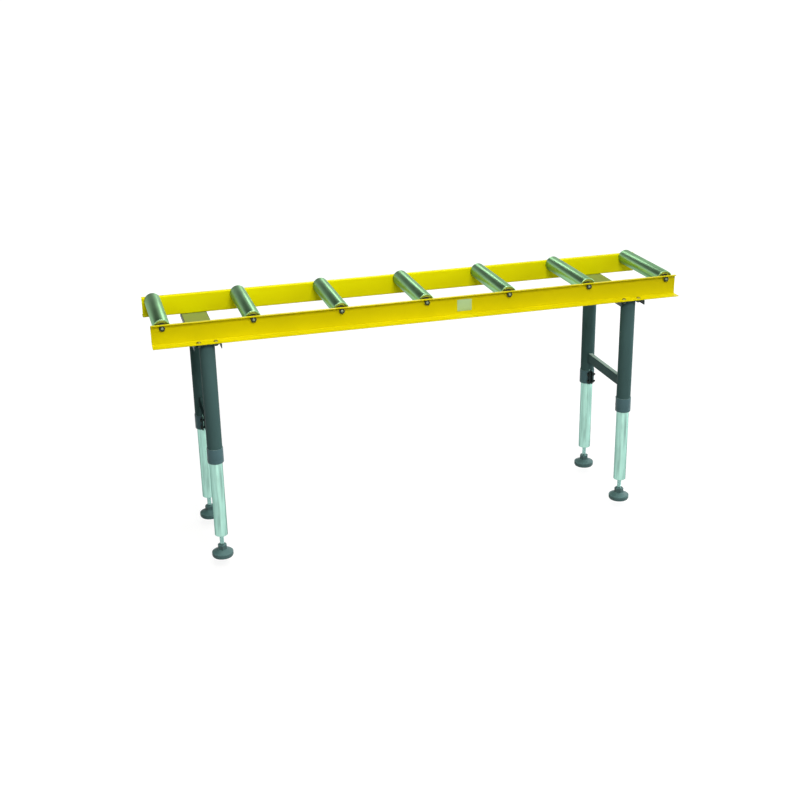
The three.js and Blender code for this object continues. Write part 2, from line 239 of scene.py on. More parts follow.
def thread(bm, radius, depth, pitch, low, high, facets=24):
    """Adds a round screw thread from height low to height high."""
    steps = int((high - low) / pitch * facets)
    root = radius - depth
    # Radius of each line of the thread, and its rise as a share of the pitch
    shape = [(root, 0.0), (radius, 0.32), (radius, 0.5), (root, 0.82)]
    lines = [[] for _ in shape]
    for i in range(steps + 1):
        angle = 2 * math.pi * i / facets
        fade = min(1.0, i / facets, (steps - i) / facets)
        for line, (far, rise) in zip(lines, shape):
            r = root + (far - radius + depth) * fade
            height = low + pitch * (i / facets + rise)
            line.append(bm.verts.new((r * math.cos(angle), r * math.sin(angle), height)))
    first, last = lines[0], lines[-1]
    for i in range(steps):
        for a, b in zip(lines, lines[1:]):
            bm.faces.new((a[i], a[i + 1], b[i + 1], b[i]))
        if i + facets < steps:
            bm.faces.new((last[i], last[i + 1], first[i + facets + 1], first[i + facets]))
    edges = [edge for edge in bm.edges if edge.is_boundary]
    bmesh.ops.holes_fill(bm, edges=edges, sides=0)
    return bm


def bead(path, radius, facets=8):
    """Weld bead around a closed path, with a ripple for each pass of the arc."""
    bm = bmesh.new()
    count = len(path)
    rings = []
    for i, point in enumerate(path):
        along = (path[(i + 1) % count] - path[i - 1]).normalized()
        side = along.orthogonal() if i == 0 else side - along * side.dot(along)
        side = side.normalized()
        over = along.cross(side)
        r = radius * (1 + RIPPLE * math.sin(i * RIPPLE_STEP) + UNEVEN * random.uniform(-1, 1))
        rings.append([
            bm.verts.new(point + (side * math.cos(a) + over * math.sin(a)) * r) for a in angles(facets)
        ])
    for a, b in zip(rings, rings[1:] + rings[:1]):
        shift = 0
        if a is rings[-1]:
            shift = min(range(facets), key=lambda s: (a[0].co - b[s].co).length)
        for k in range(facets):
            n = (k + 1) % facets
            bm.faces.new((a[k], a[n], b[(n + shift) % facets], b[(k + shift) % facets]))
    return bm


def drill(radius, reach=THROUGH):
    """Round bar that cuts a hole, half above and half below the origin."""
    return lathe(disc(radius, -reach, reach), facets=32)


def moved(bm, place):
    bmesh.ops.translate(bm, vec=place, verts=bm.verts)
    return bm


def mapped(bm, matrix):
    bmesh.ops.transform(bm, matrix=matrix, verts=bm.verts)
    return bm


# Turns that point a shape made about Z along an axis
POINT = {
    "x": Matrix.Rotation(math.pi / 2, 4, "Y"),
    "-x": Matrix.Rotation(-math.pi / 2, 4, "Y"),
    "y": Matrix.Rotation(-math.pi / 2, 4, "X"),
    "-y": Matrix.Rotation(math.pi / 2, 4, "X"),
    "-z": Matrix.Rotation(math.pi, 4, "X"),
}
HALF_TURN = Matrix.Rotation(math.pi, 4, "Z")
HEX_TILT = 0.06


def loose_turn(axis="Z"):
    """Turn at which a piece happened to stop."""
    return Matrix.Rotation(random.uniform(0, HEX_STEP), 4, axis)


def flats_up():
    """Turn of a hexagon with flats above and below, a little off."""
    return Matrix.Rotation(HEX_STEP / 2 + random.uniform(-HEX_TILT, HEX_TILT), 4, "Z")


# Meshes and pieces
def finish_mesh(mesh, material, sharp):
    mesh.polygons.foreach_set("use_smooth", [True] * len(mesh.polygons))
    mesh.set_sharp_from_angle(angle=math.radians(sharp))
    mesh.materials.clear()
    mesh.materials.append(material)
    return mesh


def as_mesh(name, bm, material, sharp=SHARP):
    bmesh.ops.recalc_face_normals(bm, faces=bm.faces)
    mesh = bpy.data.meshes.new(name)
    bm.to_mesh(mesh)
    bm.free()
    return finish_mesh(mesh, material, sharp)


def as_object(name, data):
    obj = bpy.data.objects.new(name, data)
    bpy.context.scene.collection.objects.link(obj)
    return obj


def combined(name, start, operation, shapes, material, sharp):
    """A mesh with other shapes joined to it or cut from it, in order."""
    body = as_object(name, as_mesh(name, start, material))
    others = []
    for shape in shapes:
        other = as_object(name + "_step", as_mesh(name + "_step", shape, material))
        step = body.modifiers.new("step", "BOOLEAN")
        step.operation = operation
        step.solver = "EXACT"
        step.object = other
        others.append(other)
    graph = bpy.context.evaluated_depsgraph_get()
    mesh = bpy.data.meshes.new_from_object(body.evaluated_get(graph))
    for item in others + [body]:
        bpy.data.objects.remove(item)
    return finish_mesh(mesh, material, sharp)


def piece(name, mesh, body, place=(0, 0, 0), spin=None, stands_for=()):
    """Adds a piece of the stand at its place, riding on a body of the frame."""
    obj = as_object(name, mesh)
    obj.matrix_world = Matrix.Translation(place) @ (spin or Matrix())
    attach(obj, body)
    if stands_for:
        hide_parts(*stands_for)
    return obj


# Material nodes
def node(tree, kind, inputs=None, **settings):
    made = tree.nodes.new(kind)
    for key, value in settings.items():
        setattr(made, key, value)
    for key, value in (inputs or {}).items():
        if isinstance(value, bpy.types.NodeSocket):
            tree.links.new(value, made.inputs[key])
        else:
            made.inputs[key].default_value = value
    return made


def start_material(name, **fixed):
    material = bpy.data.materials.new(name)
    material.use_nodes = True
    tree = material.node_tree
    shader = tree.nodes["Principled BSDF"]
    for key, value in fixed.items():
        shader.inputs[key.replace("_", " ")].default_value = value
    coords = node(tree, "ShaderNodeTexCoord").outputs["Object"]
    return material, tree, shader, coords


def noise(tree, vector, scale, detail=3.0, stretch=None):
    if stretch:
        vector = node(tree, "ShaderNodeMapping", {"Vector": vector, "Scale": stretch}).outputs["Vector"]
    made = node(tree, "ShaderNodeTexNoise", {"Vector": vector, "Scale": scale, "Detail": detail})
    return made.outputs["Fac"]


def ramp(tree, value, low, high, out_low=0.0, out_high=1.0):
    made = node(tree, "ShaderNodeMapRange", {
        "Value": value, "From Min": low, "From Max": high, "To Min": out_low, "To Max": out_high,
    })
    return made.outputs["Result"]


def calculate(tree, operation, a, b):
    return node(tree, "ShaderNodeMath", {0: a, 1: b}, operation=operation).outputs[0]


def times(tree, a, b):
    return calculate(tree, "MULTIPLY", a, b)


def greater(tree, a, b):
    return calculate(tree, "MAXIMUM", a, b)


def blend_colour(tree, factor, a, b):
    """Mix of two colours. Inputs 0, 6 and 7 of the node are its factor and its colours."""
    made = node(tree, "ShaderNodeMix", data_type="RGBA")
    for index, value in ((0, factor), (6, a), (7, b)):
        if isinstance(value, bpy.types.NodeSocket):
            tree.links.new(value, made.inputs[index])
        else:
            made.inputs[index].default_value = value if index == 0 else (*value, 1.0)
    return made.outputs[2]


def shade(colour, amount):
    return tuple(min(1.0, part * amount) for part in colour)


def facing_up(tree):
    """Rises to 1 on faces that look straight up."""
    facing = node(tree, "ShaderNodeNewGeometry").outputs["Normal"]
    return node(tree, "ShaderNodeSeparateXYZ", {0: facing}).outputs["Z"]


def edge_mask(tree, radius, low, high):
    """Rises from 0 to 1 where the surface turns sharply within the radius."""
    soft = node(tree, "ShaderNodeBevel", {"Radius": radius}, samples=6).outputs["Normal"]
    true = node(tree, "ShaderNodeNewGeometry").outputs["Normal"]
    dot = node(tree, "ShaderNodeVectorMath", {0: soft, 1: true}, operation="DOT_PRODUCT")
    return ramp(tree, dot.outputs["Value"], high, low)


def bump(tree, shader, layers):
    """Stacks (height, strength, distance) layers of bump on the shader."""
    normal = None
    for height, strength, distance in layers:
        inputs = {"Height": height, "Strength": strength, "Distance": distance}
        if normal is not None:
            inputs["Normal"] = normal
        normal = node(tree, "ShaderNodeBump", inputs).outputs["Normal"]
    tree.links.new(normal, shader.inputs["Normal"])


# Noise scales, in features per metre, the usual spread of a noise value and the width of worn edges
PAINT_CLOUD = 5.0
PAINT_GRAIN = 340.0
PAINT_RUB = 60.0
ZINC_CLOUD = 16.0
ZINC_SCUFF = 230.0
ZINC_REFLECTION = (75.0, 75.0, 5.0)
STEEL_STAIN = 90.0
STEEL_GRAIN = 810.0
MOULD_CLOUD = 38.0
MOULD_SKIN = 620.0
DARK, LIGHT = 0.3, 0.7
QUARTER = 0.25
CHIP_WIDTH = 1.2 * MM
RUB_WIDTH = 0.8 * MM


def paint(name, colour, bare, gloss, peel, roughness, shine=0.5, dust_and_top_light=None, dust_and_top_light_cover=0.0):
    """Baked paint: faint mottling, orange peel, specks, chipped edges, and on the upper faces a pale
    cover that is partly dust and partly painted light.
    """
    material, tree, shader, coords = start_material(
        name, Specular_IOR_Level=shine, Specular_Tint=(*gloss, 1.0))
    cloud = noise(tree, coords, PAINT_CLOUD, detail=4.0)
    grain = noise(tree, coords, PAINT_GRAIN, detail=2.0)
    rub = noise(tree, coords, PAINT_RUB, detail=5.0)
    base = blend_colour(tree, ramp(tree, cloud, DARK, LIGHT), shade(colour, 0.95), shade(colour, 1.04))
    specks = ramp(tree, grain, 0.62, 0.78, out_high=0.25)
    base = blend_colour(tree, specks, base, shade(colour, 0.84))
    # Top faces blend toward a pale colour, part dust and part painted light
    if dust_and_top_light:
        top_share = ramp(tree, facing_up(tree), 0.8, 0.97, out_high=dust_and_top_light_cover)
        patchy = ramp(tree, rub, 0.25, 0.6, out_low=0.75)
        base = blend_colour(tree, times(tree, top_share, patchy), base, dust_and_top_light)
    chipped = times(tree, edge_mask(tree, CHIP_WIDTH, 0.72, 0.93), ramp(tree, rub, 0.56, 0.66))
    base = blend_colour(tree, chipped, base, bare)
    tree.links.new(base, shader.inputs["Base Color"])
    worn = ramp(tree, cloud, 0.25, 0.75, roughness - 0.05, roughness + 0.07)
    rubbed = ramp(tree, rub, DARK, LIGHT, 0.9, 1.1)
    tree.links.new(times(tree, worn, rubbed), shader.inputs["Roughness"])
    bump(tree, shader, [(grain, peel, 0.4 * MM), (cloud, 0.02, 2 * MM)])
    return material


def zinc(name, colour, stretch, roughness, drawn=0.0, contrast=0.3, rim=1.0, dark_reflection=0.0):
    """Plated steel: fine lines along the draw, broad dark streaks of painted dark reflection and shade,
    a cloud of passivation and small scuffs.

    The gloss is stretched around the tube by drawn, and rim is the brightness of its grazing edges.
    """
    material, tree, shader, coords = start_material(
        name, Metallic=1.0, Anisotropic=drawn, Specular_Tint=(rim, rim, rim, 1.0))
    if drawn:
        shader.inputs["Anisotropic Rotation"].default_value = QUARTER
        around = node(tree, "ShaderNodeTangent", direction_type="RADIAL", axis="Z").outputs["Tangent"]
        tree.links.new(around, shader.inputs["Tangent"])
    lines = noise(tree, coords, 1.0, detail=3.0, stretch=stretch)
    cloud = noise(tree, coords, ZINC_CLOUD, detail=4.0)
    scuff = noise(tree, coords, ZINC_SCUFF, detail=4.0)
    base = blend_colour(tree, ramp(tree, cloud, DARK, LIGHT), shade(colour, 0.93), shade(colour, 1.05))
    drawn_lines = ramp(tree, lines, 0.45, 0.7, out_high=contrast)
    base = blend_colour(tree, drawn_lines, base, shade(colour, 0.78))
    # Broad dark streaks along the tube: painted dark reflections and shade
    if dark_reflection:
        bands = noise(tree, coords, 1.0, detail=4.0, stretch=ZINC_REFLECTION)
        painted_reflection = ramp(tree, bands, 0.5, 0.66, out_high=dark_reflection)
        base = blend_colour(tree, painted_reflection, base, shade(colour, 0.4))
    spots = ramp(tree, scuff, 0.68, 0.8, out_high=0.2)
    base = blend_colour(tree, spots, base, shade(colour, 0.76))
    tree.links.new(base, shader.inputs["Base Color"])
    vary = 0.18 * contrast
    lined = ramp(tree, lines, DARK, LIGHT, roughness - vary, roughness + vary)
    clouded = ramp(tree, cloud, DARK, LIGHT, 0.92, 1.1)
    tree.links.new(times(tree, lined, clouded), shader.inputs["Roughness"])
    bump(tree, shader, [(lines, 0.07 * contrast, 0.2 * MM), (scuff, 0.05 * contrast, 0.1 * MM)])
    return material


def steel(name, colour, roughness, rubbed=3.0):
    """Fastener steel: oil darkened, brighter where it rubs."""
    material, tree, shader, coords = start_material(name, Metallic=1.0)
    cloud = noise(tree, coords, STEEL_STAIN, detail=4.0)
    grain = noise(tree, coords, STEEL_GRAIN, detail=3.0)
    stain = blend_colour(tree, ramp(tree, cloud, DARK, LIGHT), shade(colour, 0.75), shade(colour, 1.2))
    bright = times(tree, edge_mask(tree, RUB_WIDTH, 0.75, 0.96), ramp(tree, cloud, 0.35, 0.6))
    base = blend_colour(tree, bright, stain, shade(colour, rubbed))
    tree.links.new(base, shader.inputs["Base Color"])
    rough = ramp(tree, grain, DARK, LIGHT, roughness - 0.07, roughness + 0.12)
    tree.links.new(rough, shader.inputs["Roughness"])
    bump(tree, shader, [(grain, 0.12, 0.1 * MM)])
    return material


def moulded(name, colour, roughness, worn=2.5 * MM, scuff=0.6, dust_and_top_light=0.0):
    """Moulded part: fine pitted skin, lighter on the upper faces (dust and painted light) and lighter at
    the edges (scuffs and painted highlight).
    """
    material, tree, shader, coords = start_material(name, Specular_IOR_Level=0.4)
    skin = noise(tree, coords, MOULD_SKIN, detail=3.0)
    cloud = noise(tree, coords, MOULD_CLOUD, detail=4.0)
    base = blend_colour(tree, ramp(tree, cloud, DARK, LIGHT), shade(colour, 0.82), shade(colour, 1.15))
    # Top faces lighter: painted light, with dust
    if dust_and_top_light:
        top_share = ramp(tree, facing_up(tree), 0.3, 0.8, out_high=dust_and_top_light)
        base = blend_colour(tree, top_share, base, shade(colour, 1.8))
    patchy = ramp(tree, cloud, 0.3, 0.6, 0.3 * scuff, scuff)
    scuffed_and_highlit = times(tree, edge_mask(tree, worn, 0.8, 0.98), patchy)
    base = blend_colour(tree, scuffed_and_highlit, base, shade(colour, 2.2))
    tree.links.new(base, shader.inputs["Base Color"])
    rough = ramp(tree, cloud, DARK, LIGHT, roughness - 0.08, roughness + 0.1)
    tree.links.new(rough, shader.inputs["Roughness"])
    bump(tree, shader, [(skin, 0.25, 0.3 * MM), (cloud, 0.08, 1 * MM)])
    return material


# Paints
# Pale colour for top faces, part dust and part painted light
DUST_AND_TOP_LIGHT = (0.40, 0.52, 0.46)
# Olive for the crossmember tops: a painted reflection of the yellow rails
OLIVE_REFLECTION = (0.31, 0.39, 0.10)
GREY_GREEN = (0.065, 0.130, 0.129)
YELLOW_COAT = {"bare": (0.40, 0.35, 0.05), "gloss": (1.0, 0.85, 0.05), "peel": 0.08, "roughness": 0.38}
GREY_COAT = {"bare": (0.13, 0.17, 0.16), "gloss": (0.55, 0.85, 0.85), "peel": 0.10}
YELLOW = paint("yellow_powder_coat", (0.67, 0.59, 0.0005), **YELLOW_COAT)
# A lighter copy of the yellow for the rear rail: painted light that lifts its inner web
LIT_REAR_YELLOW = paint("yellow_powder_coat_rear_painted_light", (0.77, 0.71, 0.0005), **YELLOW_COAT)
GREY = paint("grey_green_paint", GREY_GREEN, roughness=0.5, shine=0.05, **GREY_COAT)
# A darker, matt copy of the leg grey: painted shade on the left brace
SHADED_MATT_GREY = paint("grey_green_matt_painted_shade", (0.050, 0.100, 0.099), roughness=0.6, shine=0.0, **GREY_COAT)
# A copy of the leg grey with pale top faces: a painted sheen on top of the right brace
TOP_LIT_GREY = paint(
    "grey_green_painted_top_light", GREY_GREEN, roughness=0.5, shine=0.05, dust_and_top_light=DUST_AND_TOP_LIGHT, dust_and_top_light_cover=0.9, **GREY_COAT)
# Crossmember channel: its top faces are mostly olive, a painted reflection of the yellow rails
CHANNEL = paint(
    "grey_channel_paint", (0.026, 0.052, 0.050), bare=(0.13, 0.17, 0.16), gloss=(0.7, 0.9, 0.85),
    peel=0.08, roughness=0.4, shine=0.22, dust_and_top_light=OLIVE_REFLECTION, dust_and_top_light_cover=0.85)
# Collar paint, lighter and bluer than the leg grey, in part as painted light on the lower legs. Its top
# faces turn pale: a painted highlight along the top, with dust.
COLLAR = paint(
    "grey_collar_paint", (0.075, 0.147, 0.163), bare=(0.20, 0.26, 0.26), gloss=(0.6, 0.9, 0.95),
    peel=0.12, roughness=0.4, shine=0.3, dust_and_top_light=DUST_AND_TOP_LIGHT, dust_and_top_light_cover=0.4)
# Near-black lug paint: painted shade for the clamp lugs, which sit in shadow
SHADED_LUG = paint(
    "lug_paint_painted_shade", (0.012, 0.021, 0.021), bare=(0.10, 0.12, 0.12), gloss=(0.6, 0.9, 0.9),
    peel=0.12, roughness=0.4, shine=0.25)
WELD = paint(
    "painted_weld", (0.026, 0.056, 0.054), bare=(0.11, 0.14, 0.13), gloss=(0.55, 0.85, 0.82),
    peel=0.2, roughness=0.45, shine=0.25)

# Metals and mouldings
ROLLER_ZINC = zinc(
    "roller_zinc", (0.40, 0.72, 0.40), stretch=(140.0, 140.0, 2.0), roughness=0.33,
    drawn=0.5, contrast=0.04, rim=0.35)
# Inner leg tubes: broad dark streaks painted as dark reflections and shade
TUBE_ZINC = zinc(
    "tube_zinc", (0.45, 0.76, 0.66), stretch=(260.0, 260.0, 2.0), roughness=0.40,
    drawn=0.8, contrast=0.3, rim=0.12, dark_reflection=0.6)
CUP_ZINC = zinc("cup_zinc", (0.44, 0.52, 0.15), stretch=(120.0, 120.0, 120.0), roughness=0.36)
THREAD_ZINC = zinc("thread_zinc", (0.50, 0.72, 0.68), stretch=(300.0, 300.0, 300.0), roughness=0.28)
SCREW_ZINC = zinc("screw_zinc", (0.34, 0.31, 0.08), stretch=(200.0, 200.0, 200.0), roughness=0.40)
PLATE = zinc(
    "plate_metal", (0.41, 0.56, 0.26), stretch=(60.0, 60.0, 60.0), roughness=0.42, contrast=0.15)
DARK_STEEL = steel("dark_steel", (0.06, 0.075, 0.05), roughness=0.26)
# A brighter copy of the screw steel for the crowns of the axle screws: a painted highlight on the dark
# heads
HIGHLIGHT_STEEL = steel("steel_painted_highlight", (0.24, 0.30, 0.20), roughness=0.34, rubbed=1.3)
HEAD_STEEL = steel("head_steel", (0.045, 0.055, 0.03), roughness=0.34)
BLACK_STEEL = steel("black_steel", (0.018, 0.026, 0.022), roughness=0.32, rubbed=4.0)
RUBBER_SEAL = moulded("bearing_seal", (0.02, 0.022, 0.02), roughness=0.6)
# The foot's top faces are lighter and its rim brighter: painted light on top and a painted highlight
# along the rim, with dust and scuffs
FOOT = moulded("moulded_foot", (0.062, 0.130, 0.128), roughness=0.55, worn=4 * MM, scuff=0.9, dust_and_top_light=0.4)

# Side rails
LIP_TIP = SHEET + 12 * MM
AXLE_HOLE_R = 6.6 * MM
RAIL_HOLE_R = 5.6 * MM


def rail_mesh():
    """Rear rail: a tall web inside, a wide flange and a narrow lip turned outward."""
    flange = FLANGE_TIP - WEB_INNER
    height = RAIL_TOP - RAIL_BOTTOM
    under_lip = height - SHEET
    section = rounded([
        (0, 0, BEND_OUTER), (flange, 0, CUT_EDGE), (flange, SHEET, CUT_EDGE), (SHEET, SHEET, BEND_INNER),
        (SHEET, under_lip, BEND_INNER), (LIP_TIP, under_lip, CUT_EDGE), (LIP_TIP, height, CUT_EDGE),
        (0, height, BEND_OUTER),
    ], steps=6)
    lengthwise = Matrix(((0, 0, 1, 0), (1, 0, 0, WEB_INNER), (0, 1, 0, RAIL_BOTTOM), (0, 0, 0, 1)))
    bar = mapped(prism(section, rail_low[0], rail_high[0]), lengthwise)
    holes = []
    for place in roller_place.values():
        holes.append(moved(mapped(drill(AXLE_HOLE_R), POINT["y"]), (place.x, WEB_INNER, place.z)))
    for x in cross_x.values():
        for side in SIDES:
            holes.append(moved(drill(RAIL_HOLE_R), (x + side * SCREW_X, SCREW_Y, RAIL_BOTTOM)))
    return combined("side_rail", bar, "DIFFERENCE", holes, YELLOW, SHARP_FINE)


rail = rail_mesh()
# The rear rail takes the lighter copy of the yellow, painted light on its inner web
rear_rail = rail.copy()
rear_rail.materials[0] = LIT_REAR_YELLOW
piece("side_rail_rear_pressing", rear_rail, "frame", stands_for=["side_rail_rear"])
piece("side_rail_front_pressing", rail, "frame", spin=HALF_TURN,
      stands_for=["side_rail_front"])

# Axle screws. A profile gives radius, height and corner radius in millimetres
AXLE_HEX = 19 * MM
AXLE_HEAD = 6 * MM
CROWN_PROFILE = [
    (0, 5.8, 0), (4.6, 5.8, 0), (4.6, 6.5, 0.4), (2.9, 7.3, 1.3), (1.1, 7.5, 0.9), (0, 7.5, 0),
]
WASHER = 2 * MM
WASHER_R = 9 * MM
WASHER_HOLE_R = 6.4 * MM
AXLE_SCREW_R = 6 * MM
AXLE_SCREW_LENGTH = 6 * MM
AXLE_SCREW_ROOT = 1 * MM
head_mesh = as_mesh("axle_screw_head", hexagon(AXLE_HEX, 0, AXLE_HEAD), HEAD_STEEL, SHARP_FLATS)
crown = rounded(in_metres(CROWN_PROFILE))
# The crown is in the brighter steel: a painted highlight on each axle screw head
crown_mesh = as_mesh("axle_screw_crown", lathe(crown, facets=40), HIGHLIGHT_STEEL)
washer_ring = soft_ring(WASHER_HOLE_R, WASHER_R, 0, WASHER, edge=0.25 * MM)
washer_mesh = as_mesh("axle_washer", lathe(washer_ring, facets=48), DARK_STEEL)
axle_shank = soft_disc(AXLE_SCREW_R, 0, AXLE_SCREW_LENGTH, edge=0.2 * MM)
axle_shank_mesh = as_mesh("axle_screw_shank", lathe(axle_shank, facets=24), DARK_STEEL)

# Rollers. Profiles are counted from the end face of the cup
HALF_FACE = (tube_high[1] - tube_low[1]) / 2
ROLLER_R = (tube_high[2] - tube_low[2]) / 2
CUP_FACE = HALF_FACE - 1 * MM
SHAFT_R = 10 * MM
SHAFT_END = WEB_INNER - GAP
CUP_PROFILE = [
    (17, -14, 0.3), (26.6, -14, 0.3), (26.6, 0, 0.8),
    (24.2, 0, 0.8), (22.6, -2.4, 0.8), (17, -2.4, 0.4),
]
SEAL_PROFILE = [
    (10.6, -13, 0.2), (16.8, -13, 0.2), (16.8, -2.2, 0.3), (15.4, -3.0, 0.3),
    (12.2, -3.0, 0.3), (11.4, -2.2, 0.3), (10.6, -2.2, 0.2),
]
roller_ring = soft_ring(ROLLER_R - TUBE_WALL, ROLLER_R, -HALF_FACE, HALF_FACE, edge=0.7 * MM)
tube_mesh = as_mesh("roller_tube", lathe(roller_ring, facets=96), ROLLER_ZINC)
cup_ring = rounded(in_metres(CUP_PROFILE, CUP_FACE), steps=3)
cup_mesh = as_mesh("roller_end_cup", lathe(cup_ring, facets=72), CUP_ZINC)
seal_ring = rounded(in_metres(SEAL_PROFILE, CUP_FACE), steps=2)
seal_mesh = as_mesh("roller_bearing_seal", lathe(seal_ring, facets=64), RUBBER_SEAL)
shaft_bar = soft_disc(SHAFT_R, -SHAFT_END, SHAFT_END, edge=0.8 * MM)
shaft_mesh = as_mesh("roller_shaft", lathe(shaft_bar, facets=48), DARK_STEEL)
for number, place in roller_place.items():
    roller = f"roller_{number}"
    along = POINT["y"]
    piece(f"{roller}_zinc_tube", tube_mesh, roller, place, along, [f"{roller}_tube"])
    piece(f"{roller}_shaft", shaft_mesh, "frame", place, along, [f"{roller}_axle"])
    for row, side in ROWS.items():
        outward = POINT["y" if side > 0 else "-y"]
        seat = Vector((place.x, side * (WEB_OUTER + GAP), place.z))
        tip = seat + Vector((0, side * WASHER, 0))
        root = Vector((place.x, side * (WEB_INNER - AXLE_SCREW_ROOT), place.z))
        spot = f"{number}_{row}"
        piece(f"{roller}_end_cup_{row}", cup_mesh, roller, place, outward,
              [f"{roller}_bearing_{row}"])
        piece(f"{roller}_bearing_seal_{row}", seal_mesh, roller, place, outward)
        piece(f"axle_washer_{spot}", washer_mesh, "frame", seat, outward)
        piece(f"axle_screw_{spot}", head_mesh, "frame", tip, outward @ flats_up())
        piece(f"axle_screw_crown_{spot}", crown_mesh, "frame", tip, outward)
        piece(f"axle_screw_shank_{spot}", axle_shank_mesh, "frame", root, outward)

# Crossmembers, braces and their welds
CROSS_DEPTH = 20 * MM
CROSS_TOP = RAIL_BOTTOM - GAP
CROSS_HOLE_R = 5.5 * MM
BRACE_EDGE = 3 * MM
SEAM_STEPS = 16
SEAM_R = 1.8 * MM
TOP_WELD_R = 2.2 * MM
TOP_WELD_OUT = 0.6 * MM
TOP_WELD_DROP = 1.6 * MM


def crossmember_mesh():
    """Inverted channel across the two rails."""
    half, depth = CROSS_HALF, CROSS_DEPTH
    inner = half - SHEET
    section = rounded([
        (-half, -depth, CUT_EDGE), (-inner, -depth, CUT_EDGE), (-inner, -SHEET, BEND_INNER),
        (inner, -SHEET, BEND_INNER), (inner, -depth, CUT_EDGE), (half, -depth, CUT_EDGE),
        (half, 0, BEND_OUTER), (-half, 0, BEND_OUTER),
    ], steps=6)
    reach = (cross_high[1] - cross_low[1]) / 2
    crosswise = Matrix(((1, 0, 0, 0), (0, 0, -1, 0), (0, 1, 0, CROSS_TOP), (0, 0, 0, 1)))
    bar = mapped(prism(section, -reach, reach), crosswise)
    holes = []
    for side in SIDES:
        for row in SIDES:
            holes.append(moved(drill(CROSS_HOLE_R), (side * SCREW_X, row * SCREW_Y, RAIL_BOTTOM)))
    return combined("crossmember", bar, "DIFFERENCE", holes, CHANNEL, SHARP_FINE)


def brace_mesh(material):
    """Rectangular tube between two legs, its ends shaped to them."""
    reach = abs(leg_place["rear", "right"].y)
    corners = rectangle(BRACE_HALF, BRACE_BOTTOM, BRACE_TOP)
    section = rounded([(x, z, BRACE_EDGE) for x, z in corners], steps=5)
    crosswise = Matrix(((1, 0, 0, 0), (0, 0, -1, 0), (0, 1, 0, 0), (0, 0, 0, 1)))
    bar = mapped(prism(section, -reach, reach), crosswise)
    legs = []
    for row in SIDES:
        leg = lathe(disc(LEG_R + HAIR, BRACE_BOTTOM - THROUGH, BRACE_TOP + THROUGH), facets=96)
        legs.append(moved(leg, (0, row * reach, 0)))
    return combined("leg_brace", bar, "DIFFERENCE", legs, material, SHARP_FLATS)


def brace_seam(side, leg_y):
    """Path of the weld where the brace end meets the round leg."""
    corners = rectangle(BRACE_HALF, BRACE_BOTTOM, BRACE_TOP)
    path = []
    for (x0, z0), (x1, z1) in zip(corners, corners[1:] + corners[:1]):
        for k in range(SEAM_STEPS):
            x = x0 + (x1 - x0) * k / SEAM_STEPS
            z = z0 + (z1 - z0) * k / SEAM_STEPS
            path.append(Vector((x, side * (leg_y - math.sqrt(LEG_R ** 2 - x ** 2)), z)))
    return path


# Rail screws
DOME_PROFILE = [(0, 0, 0), (8, 0, 0.3), (8, 1.5, 0.8), (5.6, 4.0, 3), (2.5, 4.5, 2), (0, 4.5, 0)]
RAIL_HEX = 16 * MM
RAIL_NUT = 8 * MM
RAIL_NUT_HOLE_R = 5.2 * MM
RAIL_SCREW_R = 5 * MM
RAIL_SCREW_LENGTH = 17.5 * MM
RAIL_SCREW_TAIL = 2 * MM
dome_mesh = as_mesh("rail_screw_dome", lathe(rounded(in_metres(DOME_PROFILE)), facets=48), SCREW_ZINC)
rail_nut = hexagon(RAIL_HEX, 0, RAIL_NUT, RAIL_NUT_HOLE_R)
rail_nut_mesh = as_mesh("rail_nut", rail_nut, DARK_STEEL, SHARP_FLATS)
rail_shank = soft_disc(RAIL_SCREW_R, 0, RAIL_SCREW_LENGTH, edge=0.6 * MM)
rail_shank_mesh = as_mesh("rail_screw_shank", lathe(rail_shank, facets=24), DARK_STEEL)

crossmember = crossmember_mesh()
# Lit and shaded copies of one grey: the left brace in painted shade, the right one with a painted sheen
# on top
braces = {"left": brace_mesh(SHADED_MATT_GREY), "right": brace_mesh(TOP_LIT_GREY)}
top_bead = bead(ring_path(LEG_R + TOP_WELD_OUT, LEG_TOP - TOP_WELD_DROP), TOP_WELD_R)
top_weld = as_mesh("leg_top_weld", top_bead, WELD, SHARP_WELD)
for end, side in ENDS.items():
    x = cross_x[end]
    piece(f"crossmember_{end}_channel", crossmember, "frame", (x, 0, 0),
          stands_for=[f"crossmember_{end}"])
    piece(f"leg_brace_{end}_tube", braces[end], "frame", (x, 0, 0),
          stands_for=[f"leg_brace_{end}"])
    for row, depth in ROWS.items():
        seam = bead(brace_seam(depth, abs(leg_place[row, end].y)), SEAM_R)
        seam_mesh = as_mesh("brace_weld", seam, WELD, SHARP_WELD)
        piece(f"brace_weld_{row}_{end}", seam_mesh, "frame", (x, 0, 0))
        for hand in SIDES:
            name = f"{row}_{end}_{'outer' if hand == side else 'inner'}"
            spot = Vector((x + hand * SCREW_X, depth * SCREW_Y, 0))
            on_flange = spot + Vector((0, 0, RAIL_BOTTOM + SHEET + HAIR))
            under = spot + Vector((0, 0, CROSS_TOP - SHEET - HAIR))
            tail = under - Vector((0, 0, RAIL_NUT + RAIL_SCREW_TAIL))
            piece(f"rail_screw_{name}", dome_mesh, "frame", on_flange, loose_turn())
            piece(f"rail_screw_nut_{name}", rail_nut_mesh, "frame", under,
                  POINT["-z"] @ loose_turn())
            piece(f"rail_screw_shank_{name}", rail_shank_mesh, "frame", tail)

